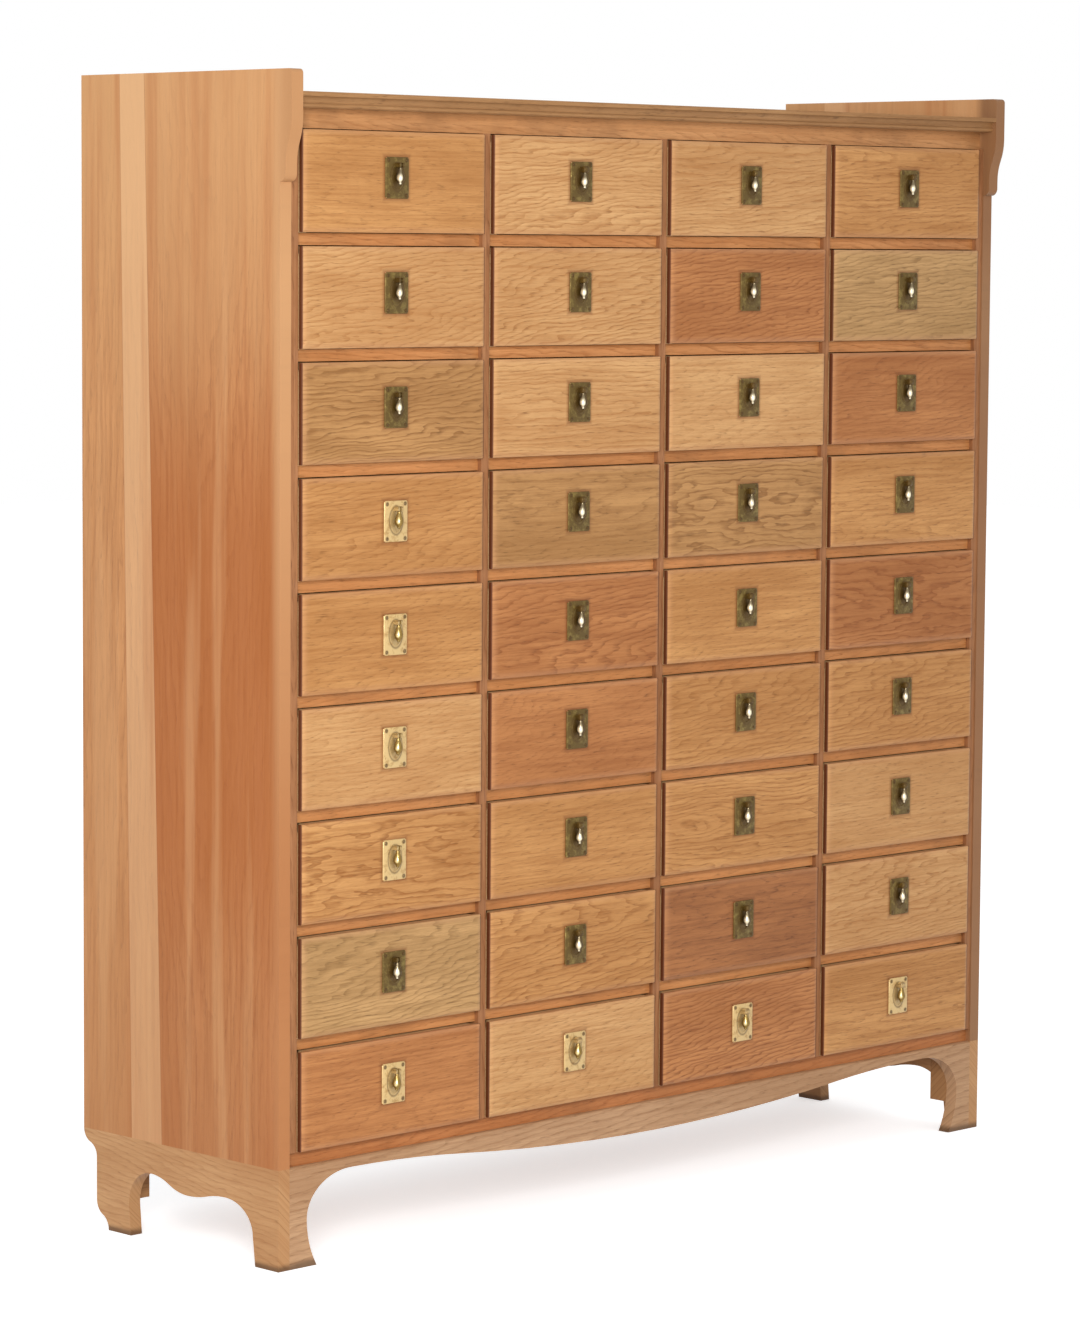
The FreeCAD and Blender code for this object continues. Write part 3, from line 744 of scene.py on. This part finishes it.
def pale_floor():
    """To the camera the floor is lifted towards white, yet it keeps the cabinet's shadow."""
    recipe = Recipe("studio_floor")
    path = recipe.node("ShaderNodeLightPath").socket.node
    seen = Wire(recipe, path.outputs[SEEN_BY[0]])
    for ray in SEEN_BY[1:]:
        seen = recipe.maths("MAXIMUM", seen, Wire(recipe, path.outputs[ray]))
    colour = recipe.blend(seen, tone(226, 224, 221), tone(243, 249, 255))
    lift = recipe.blend(seen, (0, 0, 0, 1), (0.57, 0.57, 0.57, 1))
    return recipe.finish(
        Base_Color=colour, Roughness=0.9, Specular_IOR_Level=0.1, Emission_Color=lift, Emission_Strength=1.0
    )


floor_mesh = bmesh.new()
bmesh.ops.create_grid(floor_mesh, x_segments=2, y_segments=2, size=FLOOR_HALF)
floor_data = bpy.data.meshes.new("floor")
floor_mesh.to_mesh(floor_data)
floor_mesh.free()
floor = bpy.data.objects.new("floor", floor_data)
floor.location.z = -FLOOR_GAP
floor_data.materials.append(pale_floor())
bpy.context.collection.objects.link(floor)

world = bpy.data.worlds.new("studio")
bpy.context.scene.world = world
world.use_nodes = True
tree = world.node_tree
tree.nodes.clear()
path = tree.nodes.new("ShaderNodeLightPath")
fill = tree.nodes.new("ShaderNodeBackground")
fill.inputs["Color"].default_value = (1.0, 0.985, 0.965, 1)
fill.inputs["Strength"].default_value = WORLD_FILL
white = tree.nodes.new("ShaderNodeBackground")
white.inputs["Color"].default_value = (1, 1, 1, 1)
white.inputs["Strength"].default_value = 1.0
seen = path.outputs[SEEN_BY[0]]
for ray in SEEN_BY[1:]:
    joined = tree.nodes.new("ShaderNodeMath")
    joined.operation = "MAXIMUM"
    tree.links.new(seen, joined.inputs[0])
    tree.links.new(path.outputs[ray], joined.inputs[1])
    seen = joined.outputs[0]
either = tree.nodes.new("ShaderNodeMixShader")
output = tree.nodes.new("ShaderNodeOutputWorld")
tree.links.new(seen, either.inputs[0])
tree.links.new(fill.outputs[0], either.inputs[1])
tree.links.new(white.outputs[0], either.inputs[2])
tree.links.new(either.outputs[0], output.inputs[0])


def soft_lamp(name, place, target, size, power, colour=(1.0, 0.97, 0.93)):
    """A large soft lamp that looks at a target."""
    data = bpy.data.lights.new(name, "AREA")
    data.shape = "RECTANGLE"
    data.size, data.size_y = size
    data.energy = power
    data.color = colour
    lamp = bpy.data.objects.new(name, data)
    lamp.location = place
    lamp.rotation_euler = (Vector(target) - Vector(place)).to_track_quat("-Z", "Y").to_euler()
    bpy.context.collection.objects.link(lamp)


soft_lamp("key", (-3.5, -3.2, 1.9), (-0.3, -0.1, 0.8), (1.5, 1.5), 158)
soft_lamp("front", (1.2, -5.4, 3.4), (0.1, 0, 0.8), (2.6, 2.0), 20)
bpy.context.scene.view_settings.view_transform = "Standard"
